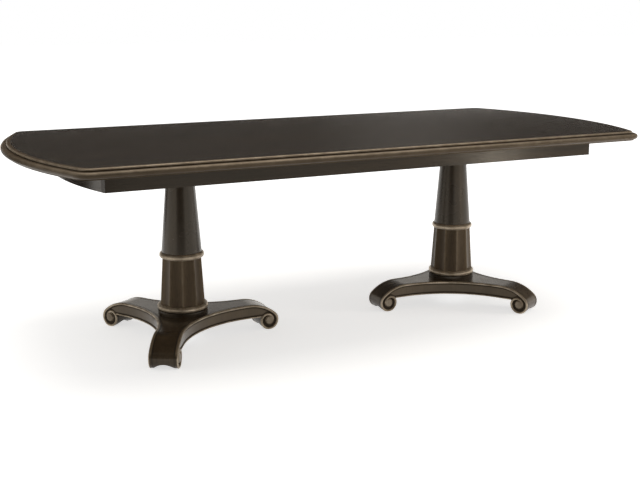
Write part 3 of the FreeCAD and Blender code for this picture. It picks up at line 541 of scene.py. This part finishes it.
def make_flute_finish():
    material, tree, shader = new_material("fluted lacquer with rubbed edges")
    colour, pores = stained_wood(tree, "height", CHESTNUT, TOFFEE)
    _, _, bearing = from_pedestal(tree, place_of(tree))
    from_middle = fold(tree, bearing, FLUTE_SHARE)
    hollow = step(tree, from_middle, *HOLLOW_FADE)
    ridge = step(tree, from_middle, *RIDGE_FADE)
    cloud, _ = use_group(tree, worn_patches, place_of(tree))
    # rubbed bronze on the ridges, which is also a painted highlight
    rubbed = times(tree, ridge, vary(tree, cloud, *RIDGE_RUB_AND_HIGHLIGHT))
    # painted shade: the hollows are darkened
    colour = tint(tree, times(tree, hollow, HOLLOW_SHADE), colour, WALNUT)
    set_inputs(tree, shader, {"Base Color": tint(tree, rubbed, colour, OLD_BRONZE)})
    satin_film(tree, shader, pores, roughness=(0.36, 0.44), specular=0.15)
    return material


flute_finish = make_flute_finish()
print("finish mixed:", flute_finish.name)

# %% [markdown]
# ## Painted shade on the legs' sides
#
# A leg's side is a bronzed panel between two beads, and it ends in a scroll. Under the upper bead, over the
# lower one and round the scroll's eye the side is darkened with painted shade, where the beads shade it. An
# ambient occlusion node could find such corners, but its lines would be as soft as shadows. The bead's line
# is known: level at first, then an arc that rolls down to the scroll. So the painted shade is a band beside
# that line.

# %% Painted shade on the legs
LEG_TOP = 0.105
LEG_UNDER = 0.052
ROLL_START = 0.255                  # the reach at which the leg's top starts to roll down
SCROLL_RADIUS = 0.037
UPPER_SHADE = (0.0150, 0.0105)      # depth under the leg's top
LOWER_SHADE = (LEG_UNDER + 0.0135, LEG_UNDER + 0.0090)
SCROLL_SHADE = (SCROLL_RADIUS + 0.002, SCROLL_RADIUS - 0.001)

roll_run = EYE_CENTRE[0] - ROLL_START
roll_drop = LEG_TOP - EYE_CENTRE[1]
roll_radius = ((roll_run ** 2 + roll_drop ** 2 - SCROLL_RADIUS ** 2)
               / (2 * (roll_drop - SCROLL_RADIUS)))


def bead_shade_mask(tree, reach, z):
    """1 where shade is painted on a leg's side."""
    level_gap = reckon(tree, "SUBTRACT", LEG_TOP, z)
    from_arc = span(tree, reach, z, (ROLL_START, LEG_TOP - roll_radius))
    arc_gap = reckon(tree, "SUBTRACT", roll_radius, from_arc)
    gap = pick(tree, reckon(tree, "GREATER_THAN", reach, ROLL_START), level_gap, arc_gap)
    beads = reckon(tree, "MAXIMUM", step(tree, gap, *UPPER_SHADE), step(tree, z, *LOWER_SHADE))
    scroll = step(tree, span(tree, reach, z, EYE_CENTRE), *SCROLL_SHADE)
    return reckon(tree, "MAXIMUM", beads, scroll)


print("the legs' tops roll down with a radius of", round(roll_radius, 3), "m")

# %% [markdown]
# ## Masks on the legs
#
# A leg's top is dark and glossy. Bronze was rubbed along its edges, and a thin dark line beside each gilded
# bead is painted shade, where the bead stands above the top. The line could be cut into the mesh, but it is
# about three millimetres wide and only its colour and dullness show. So it is drawn from the leg's inset. For
# the rubbed edges and the sides, the tilt of the surface tells the top from the sides.

# %% Leg masks
SHADE_LINE_RISE = (0.0075, 0.009)      # metres in from the leg's side
SHADE_LINE_FALL = (0.0118, 0.0103)
RUBBED_FALL = (0.0080, 0.0035)
RUBBED_TILT = (0.3, 0.7)
SIDE_FALL = (0.004, 0.001)
SIDE_TILT = (0.6, 0.3)


def leg_masks(tree):
    """Where a leg has its painted shade line, its rubbed edges, its sides, and painted shade on the sides."""
    place = place_of(tree)
    inset, reach = use_group(tree, leg_inset, place)
    up = facing_up(tree)
    # painted shade: a thin dark line beside each bead, where it stands above the top
    shaded = band(tree, inset, SHADE_LINE_RISE, SHADE_LINE_FALL)
    rubbed = times(tree, step(tree, inset, *RUBBED_FALL), step(tree, up, *RUBBED_TILT))
    upright = step(tree, reckon(tree, "ABSOLUTE", up), *SIDE_TILT)
    side = times(tree, upright, step(tree, inset, *SIDE_FALL))
    # painted shade on the sides, under and over the beads and round the scroll
    darkened = times(tree, side, bead_shade_mask(tree, reach, parts_of(tree, place)[2]))
    return shaded, rubbed, side, darkened


print("the scribed line lies", SHADE_LINE_RISE[0], "to", SHADE_LINE_FALL[0], "m in from a leg's side")

# %% [markdown]
# ## The legs' finish
#
# The masks are laid over the lacquer one after the other: bronze on the sides, painted shade over it, bronze
# on the rubbed edges, and the painted shade line last. All the colours could be mixed in one sum, but layers
# are easier to change one at a time. The painted shade and the line are matt, so they dull the film.

# %% Leg finish
SIDE_BRONZE = 0.34
SIDE_SHADE = 0.75
RUBBED_BRONZE = 0.8
SHADE_LINE_BLACK = 0.85


def make_leg_finish():
    material, tree, shader = new_material("leg lacquer with scribed line")
    colour, pores = stained_wood(tree, "height", WALNUT, CHESTNUT)
    shaded, rubbed, side, darkened = leg_masks(tree)
    colour = tint(tree, times(tree, side, SIDE_BRONZE), colour, OLD_BRONZE)
    # painted shade over the bronze sides
    colour = tint(tree, times(tree, darkened, SIDE_SHADE), colour, PORE_BLACK)
    colour = tint(tree, times(tree, rubbed, RUBBED_BRONZE), colour, OLD_BRONZE)
    # the painted shade line beside each bead, laid last
    colour = tint(tree, times(tree, shaded, SHADE_LINE_BLACK), colour, PORE_BLACK)
    set_inputs(tree, shader, {"Base Color": colour})
    dull = reckon(tree, "MAXIMUM", shaded, darkened)
    satin_film(tree, shader, pores, roughness=(0.19, 0.25), specular=0.4, dull=dull)
    return material


leg_finish = make_leg_finish()
print("finish mixed:", leg_finish.name)

# %% [markdown]
# ## Bare wood
#
# Under the top, the corner blocks, slides, bearers and battens are planed hardwood without any finish. They
# could share the lacquer's nodes in a lighter stain, but bare wood has no film: it is paler, matt, and its
# pores are open. So it takes only the wood grain, with deeper dents, and some pieces lie across the table.

# %% Bare wood
OAK_PALE = (0.46, 0.31, 0.17, 1)
OAK_DEEP = (0.27, 0.165, 0.08, 1)
OPEN_PORES = 0.45
WOOD_ROUGHNESS = (0.62, 0.74)
WOOD_SPECULAR = 0.3
WOOD_DENT = (0.0003, 0.3)


def make_bare_wood(name, along):
    material, tree, shader = new_material(name)
    figure, pores = use_group(tree, wood_grain, grain_place(tree, along))
    colour = tint(tree, figure, OAK_PALE, OAK_DEEP)
    colour = tint(tree, times(tree, pores, OPEN_PORES), colour, OAK_DEEP)
    set_inputs(tree, shader, {"Base Color": colour, "Specular IOR Level": WOOD_SPECULAR,
                              "Roughness": vary(tree, figure, *WOOD_ROUGHNESS)})
    dent(tree, shader, pores, *WOOD_DENT)
    return material


bare_wood = make_bare_wood("bare wood", "length")
cross_wood = make_bare_wood("bare wood laid across", "width")
print("finishes mixed:", bare_wood.name, "and", cross_wood.name)

# %% [markdown]
# ## Plated steel
#
# Rods, screws, base plates and lock levers are steel with a thin coat of zinc, bright in places and dull in
# others. A plain grey metal would look new and flat. The worn clouds mix a bright and a dull zinc, and
# make the dull spots rougher, and fine specks dent the coat.

# %% Plated steel
ZINC_BRIGHT = (0.58, 0.57, 0.55, 1)
ZINC_DULL = (0.33, 0.32, 0.30, 1)
ZINC_ROUGHNESS = (0.3, 0.48)
ZINC_DENT = (0.0001, 0.2)


def make_steel():
    material, tree, shader = new_material("zinc plated steel")
    cloud, specks = use_group(tree, worn_patches, place_of(tree))
    set_inputs(tree, shader, {"Base Color": tint(tree, cloud, ZINC_BRIGHT, ZINC_DULL),
                              "Roughness": vary(tree, cloud, *ZINC_ROUGHNESS), "Metallic": 1.0})
    dent(tree, shader, specks, *ZINC_DENT)
    return material


steel = make_steel()
print("finish mixed:", steel.name)

# %% [markdown]
# ## Give each piece its finish
#
# The table is made of 59 named pieces, many of them twins on the left and right half. Each could be given
# its material by its full name, but that is a long list to keep right. A short list of name parts is
# enough: the first part that is found in a piece's name decides, so *slide_screws* stands before *slide_*.

# %% Finishes by piece
FINISHES = [
    ("top_panel", top_lacquer),
    ("edge_moulding", edge_finish),
    ("apron_front", rail_lacquer),
    ("apron_back", rail_lacquer),
    ("apron_end", end_rail_lacquer),
    ("column_upper", upper_lacquer),
    ("column_lower", flute_finish),
    ("collar", upper_lacquer),
    ("leg_", leg_finish),
    ("ring", gilding),
    ("base_beads", gilding),
    ("bearer", cross_wood),
    ("seam_batten", cross_wood),
    ("slide_screws", steel),
    ("slide_", bare_wood),
    ("corner_blocks", bare_wood),
    ("head_plate", bare_wood),
    ("dowels", bare_wood),
    ("screws", steel),
    ("tie_rod", steel),
    ("base_plate", steel),
    ("lock", steel),
]


def finish_for(name):
    return next(material for key, material in FINISHES if key in name)


for name, piece in pieces.items():
    piece.data.materials.clear()
    piece.data.materials.append(finish_for(name))
print("finishes given to", len(pieces), "pieces")

# %% [markdown]
# ## Things that stand in the room
#
# They could be stock planes from Blender's Add menu, but a short list of corners says exactly where a mesh
# is. Both glow, and a glow also lights what is near it. The Light Path node tells what the camera and
# reflections see from soft light, so that the floor's glow can be seen without adding to the soft light.


# %% Room tools
def seen_directly(tree):
    """1 for what the camera, a mirror or a glass shows, 0 for soft light."""
    path = add(tree, "LightPath").outputs
    seen = reckon(tree, "MAXIMUM", path["Is Camera Ray"], path["Is Glossy Ray"])
    return reckon(tree, "MAXIMUM", seen, path["Is Transmission Ray"])


def show_as(tree, surface):
    set_inputs(tree, tree.nodes["Material Output"], {"Surface": surface})


def put_in_room(name, corners, faces, material):
    mesh = bpy.data.meshes.new(name)
    mesh.from_pydata(corners, [], faces)
    mesh.materials.append(material)
    thing = bpy.data.objects.new(name, mesh)
    bpy.context.scene.collection.objects.link(thing)
    thing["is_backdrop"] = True
    return thing


print("room tools ready")

# %% [markdown]
# ## The floor
#
# The table stands on a plain pale floor that runs out to white. More light would whiten it, but it would
# wash out the dark lacquer too. So the floor also glows, more the further it is from the table, and only
# where the camera or a reflection sees it. The table's soft shadow stays. Seen from below the floor is
# clear, so that the underside of the table can be looked at.

# %% Floor
FLOOR_PALE = (0.84, 0.86, 0.885, 1)
FLOOR_ROUGHNESS = 0.9
FLOOR_REACH = 30.0
FLOOR_LIFT = (0.5, 3.2, 0.62, 1.0)  # near and far in metres, glow near and far
WHITE = (1, 1, 1, 1)


def make_floor():
    material, tree, shader = new_material("pale floor")
    set_inputs(tree, shader, {"Base Color": FLOOR_PALE, "Roughness": FLOOR_ROUGHNESS,
                              "Specular IOR Level": 0.0})
    away = add(tree, "VectorMath", (place_of(tree),), operation="LENGTH").outputs["Value"]
    lift = times(tree, seen_directly(tree), step(tree, away, *FLOOR_LIFT))
    glow = add(tree, "Emission", (WHITE, lift)).outputs[0]
    both = add(tree, "AddShader", (shader.outputs[0], glow)).outputs[0]
    from_below = add(tree, "NewGeometry").outputs["Backfacing"]
    clear = add(tree, "BsdfTransparent").outputs[0]
    show_as(tree, add(tree, "MixShader", (from_below, both, clear)).outputs[0])
    corners = [(x * FLOOR_REACH, y * FLOOR_REACH, 0) for x, y in ((-1, -1), (1, -1), (1, 1), (-1, 1))]
    return put_in_room("floor", corners, [(0, 1, 2, 3)], material)


floor = make_floor()
print("floor laid, sides of", round(floor.dimensions.x), "m")

# %% [markdown]
# ## The drape's cloth
#
# In an all white room the lacquered top would turn milky. In a studio, a dark cloth is hung where the top
# would mirror the walls, and the same is done here. A dark diffuse cloth would take its shade from every
# lamp. An Emission shader has just the shade that it is given: nearly black, a little paler higher up, and
# with a faint glow at the back right, which shows on the top.

# %% Cloth
CLOTH_TONE = (1, 0.96, 0.9, 1)
CLOTH_SHADE = (0.92, 1.3, 0.022, 0.075)     # low and high in metres, shade low and high
GLOW_BEARING = math.radians(39)
GLOW_FADE = (0.0, math.radians(17), 0.06, 0.0)


def make_cloth():
    material, tree, _ = new_material("dark drape")
    x, y, z = parts_of(tree, place_of(tree))
    bearing = reckon(tree, "ARCTAN2", x, y)
    from_glow = reckon(tree, "ABSOLUTE", reckon(tree, "SUBTRACT", bearing, GLOW_BEARING))
    shade = reckon(tree, "ADD", step(tree, from_glow, *GLOW_FADE), step(tree, z, *CLOTH_SHADE))
    show_as(tree, add(tree, "Emission", (CLOTH_TONE, shade)).outputs[0])
    return material


cloth = make_cloth()
print("cloth made:", cloth.name)

# %% [markdown]
# ## The drape
#
# The drape is an oval band round the table that starts a little over the top. Four flat walls would do too,
# but their corners would show in the lacquer. Only reflections see it: it hides from the camera, and it
# takes no part in soft light and shadows. Behind the camera and behind the left end it hangs lower, so that
# upright surfaces that face those ways mirror dark cloth as well.

# %% Drape
DRAPE_HALF_LENGTH = 3.1
DRAPE_HALF_DEPTH = 2.4
DRAPE_TOP = 3.4
DRAPE_STRIPS = 180
HEM = 0.87
LOW_HEM = 0.12
LOW_BEARINGS = ((-168, -126), (-61, -38))   # behind the camera, behind the left end


def hem_at(x, y):
    bearing = math.degrees(math.atan2(x, y))
    hangs_low = any(start < bearing < end for start, end in LOW_BEARINGS)
    return LOW_HEM if hangs_low else HEM


def make_drape():
    turns = [i * math.tau / DRAPE_STRIPS for i in range(DRAPE_STRIPS)]
    oval = [(DRAPE_HALF_LENGTH * math.sin(a), DRAPE_HALF_DEPTH * math.cos(a)) for a in turns]
    corners = [(x, y, hem_at(x, y)) for x, y in oval] + [(x, y, DRAPE_TOP) for x, y in oval]
    pairs = [(i, (i + 1) % DRAPE_STRIPS) for i in range(DRAPE_STRIPS)]
    faces = [(a, b, b + DRAPE_STRIPS, a + DRAPE_STRIPS) for a, b in pairs]
    drape = put_in_room("drape", corners, faces, cloth)
    drape.visible_camera = drape.visible_diffuse = drape.visible_shadow = False
    return drape


drape = make_drape()
print("drape hung in", len(drape.data.polygons), "strips")

# %% [markdown]
# ## The white room
#
# Above and below the drape the room is white, and its reflections draw the upright highlights on the
# columns. White walls could be built as meshes, but the world is simpler. The camera and reflections see it
# as white, slightly warm in reflections, while the soft light that it gives is only about a third of that.

# %% White room
WARM_WHITE = (1, 0.955, 0.89, 1)
SOFT_LIGHT = 0.35


def make_room():
    world = bpy.data.worlds.new("white room")
    world.use_nodes = True
    tree = world.node_tree
    camera_sees = add(tree, "LightPath").outputs["Is Camera Ray"]
    set_inputs(tree, tree.nodes["Background"], {
        "Color": tint(tree, camera_sees, WARM_WHITE, WHITE),
        "Strength": vary(tree, seen_directly(tree), SOFT_LIGHT, 1.0)})
    return world


bpy.context.scene.world = make_room()
print("room made:", bpy.context.scene.world.name)

# %% [markdown]
# ## The lamps
#
# The table is lit softly from overhead and from both sides. Point lamps would give hard shadows and bright
# dots on the lacquer, so all lamps are area lamps. The two soft boxes stand lower than the top: they light
# the pedestals and are hidden from reflections, because they would glare on the legs' glossy tops. The front
# strip draws the pale patch on the front rail. Its narrow beam is aimed up and keeps off the legs' tops.

# %% Lamps
LAMP_TONE = (1, 0.94, 0.86)
LAMPS = [   # name, place, aim, size, power in watts, mirrored, beam in degrees
    ("overhead lamp", (0.3, -0.2, 3.6), (0.3, -0.2, 0), (4.5, 2.6), 72, True, 180),
    ("left soft box", (-2.37, 0.42, 0.41), (-0.8, -0.35, 0.41), (0.55, 0.68), 3.0, False, 180),
    ("right soft box", (2.2, -1.25, 0.41), (0.2, 0, 0.41), (0.6, 0.68), 15, False, 180),
    ("front strip", (1.66, -1.94, 0.40), (0.55, -0.47, 0.86), (0.16, 0.36), 0.118, True, 36),
]


def make_lamp(name, place, aim, size, power, mirrored, beam):
    light = bpy.data.lights.new(name, "AREA")
    light.shape = "RECTANGLE"
    light.size, light.size_y = size
    light.energy = power
    light.spread = math.radians(beam)
    light.color = LAMP_TONE
    lamp = bpy.data.objects.new(name, light)
    lamp.location = place
    direction = Vector(aim) - Vector(place)
    lamp.rotation_euler = direction.to_track_quat("-Z", "Y").to_euler()
    lamp.visible_glossy = mirrored
    bpy.context.scene.collection.objects.link(lamp)


for row in LAMPS:
    make_lamp(*row)
print("lamps placed:", ", ".join(row[0] for row in LAMPS))

# %% [markdown]
# ## The camera
#
# The camera stands in front of the left end, a little over a metre high, and looks down along the table to
# the right. One could turn the view by hand until it fits the photograph. Here the place, the angles and
# the lens were reckoned from its long edges, ends and feet, which is surer. Its uprights are parallel, so a
# small shift of the lens takes the place of some of the downward look.

# %% Camera
IMAGE_WIDTH = 640
FOCAL_PIXELS = 1040.9
SENSOR_WIDTH = 36.0
LENS_SHIFT = -0.08
CAMERA_PLACE = (-1.8497, -3.6610, 1.2503)
TURN_RIGHT = 26.502
LOOK_DOWN = 9.957

camera_data = bpy.data.cameras.new("photo camera")
camera_data.sensor_width = SENSOR_WIDTH
camera_data.lens = FOCAL_PIXELS * SENSOR_WIDTH / IMAGE_WIDTH
camera_data.shift_y = LENS_SHIFT
camera = bpy.data.objects.new("photo camera", camera_data)
camera.location = CAMERA_PLACE
camera.rotation_euler = (math.radians(90 - LOOK_DOWN), 0, math.radians(-TURN_RIGHT))
bpy.context.scene.collection.objects.link(camera)
bpy.context.scene.camera = camera
bpy.context.scene.view_settings.view_transform = "Standard"
print("camera lens", round(camera_data.lens, 2), "mm")

# %% [markdown]
#
# A finish must not change the size of the table. One could look at the dimensions of each piece, but one box
# round the whole table says it all: it was measured straight after loading, it is measured again here, and
# both are printed.

# %% Finish
shown_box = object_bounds()
for label, box in (("CAD box", cad_box), ("shown box", shown_box)):
    print(label, [[round(value, 4) for value in corner] for corner in box])
